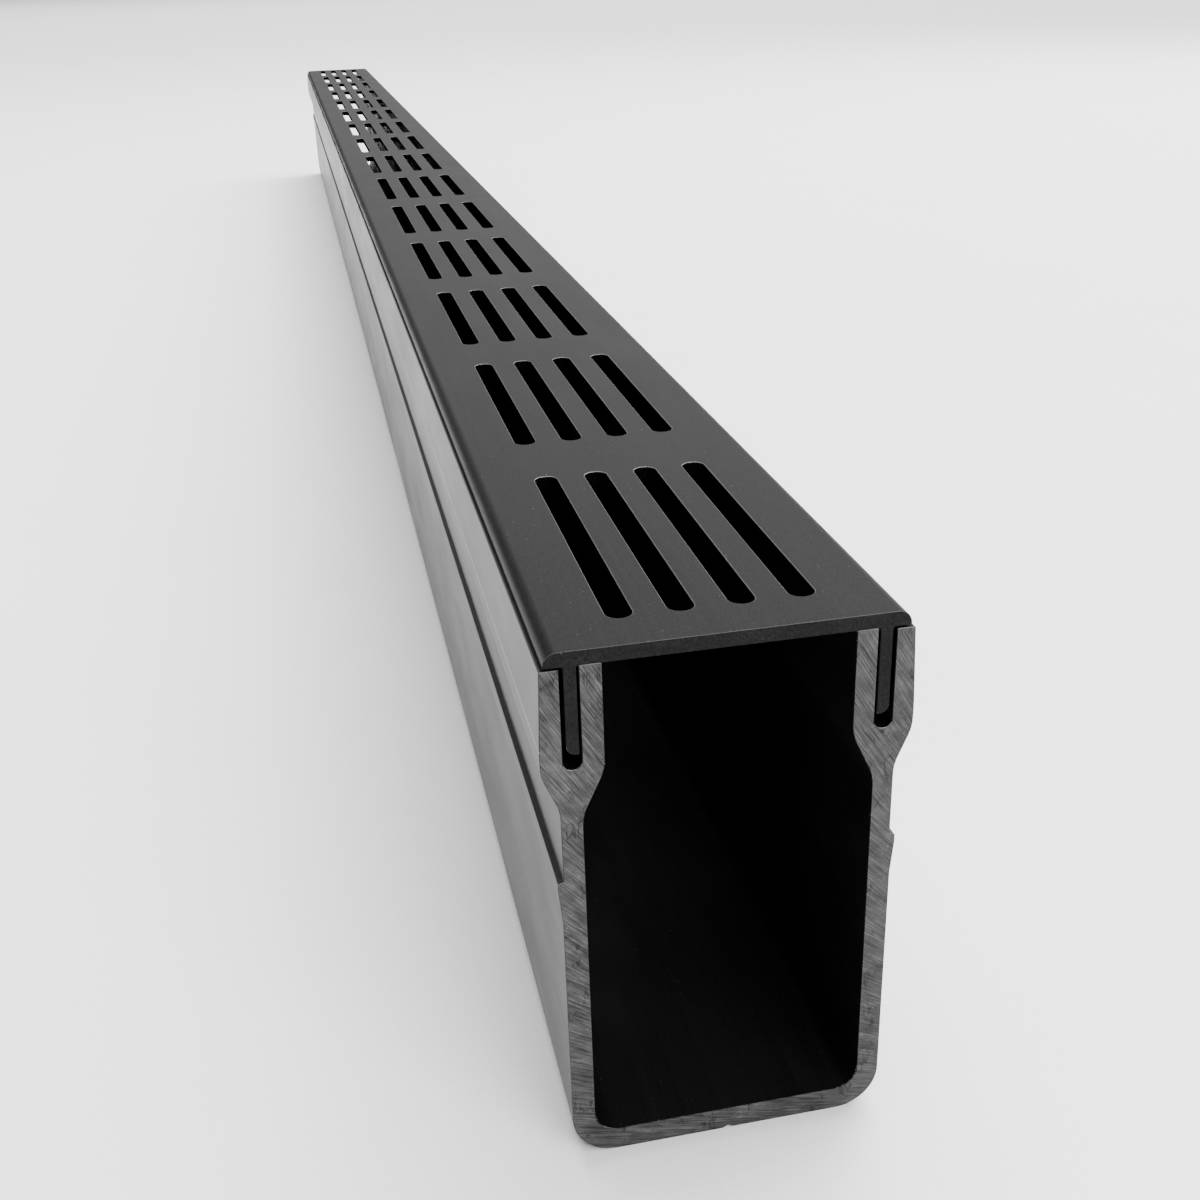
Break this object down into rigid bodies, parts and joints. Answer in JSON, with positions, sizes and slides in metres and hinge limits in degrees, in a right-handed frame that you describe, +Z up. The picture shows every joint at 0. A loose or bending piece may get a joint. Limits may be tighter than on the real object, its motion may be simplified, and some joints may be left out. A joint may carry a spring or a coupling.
{
  "type": "channel drain",
  "caption": "Slim extruded line drain: a deep U-shaped channel with grooved heads and a slotted lift-out lid whose two legs hang in the grooves.",
  "frame": {"origin": "under the middle of the drain, on the plane that the channel stands on", "axes": "+X across the drain, +Y along it, +Z up through the lid"},
  "size_m": [0.045, 1, 0.0728],
  "materials": {
    "anodised_channel": "black anodised, semi-gloss",
    "anodised_lid": "black anodised, satin",
    "cut_metal": "bare saw-cut"
  },
  "bodies": {
    "root": {"channel_profile": "anodised_channel", "slotted_lid": "anodised_lid"}
  },
  "joints": []
}
